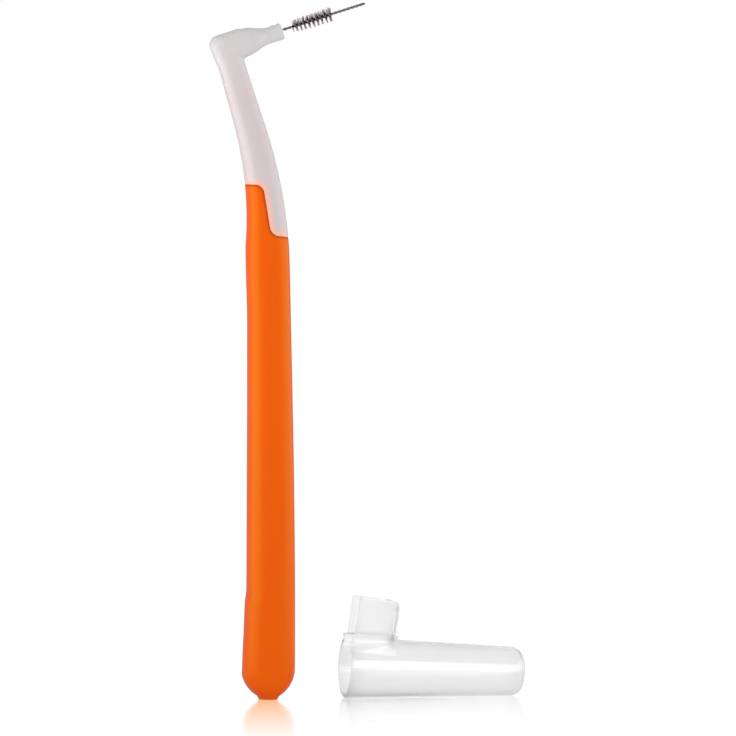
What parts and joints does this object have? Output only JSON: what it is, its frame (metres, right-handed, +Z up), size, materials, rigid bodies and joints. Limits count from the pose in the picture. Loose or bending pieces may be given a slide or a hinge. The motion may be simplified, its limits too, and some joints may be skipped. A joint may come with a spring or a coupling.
{
  "type": "interdental brush",
  "caption": "Angled interdental brush with a two-colour moulded handle, a twisted-wire bristle head and a clear travel cap lying beside it.",
  "frame": {"origin": "centre of the foot flat under the heel of the handle, on the floor", "axes": "+Z up the handle, +X the way the angled head and the wire point, +Y away from the side that the picture shows"},
  "size_m": [0.0641, 0.0122, 0.1392],
  "materials": {
    "white_shot": "smooth moulded white plastic",
    "orange_shot": "smooth moulded orange plastic",
    "steel_wire": "drawn and twisted stainless wire",
    "nylon": "dark nylon filament",
    "clear_cap": "clear moulded plastic, slightly milky"
  },
  "bodies": {
    "brush": {"core": "white_shot", "grip": "orange_shot", "wire": "steel_wire", "bristles": "nylon"},
    "cap": {"cap": "clear_cap"}
  },
  "joints": [
    {"name": "cap_slide", "type": "slide", "parent": "brush", "child": "cap", "axis": [1, 0, 0], "range_m": [0, 0.04]}
  ]
}
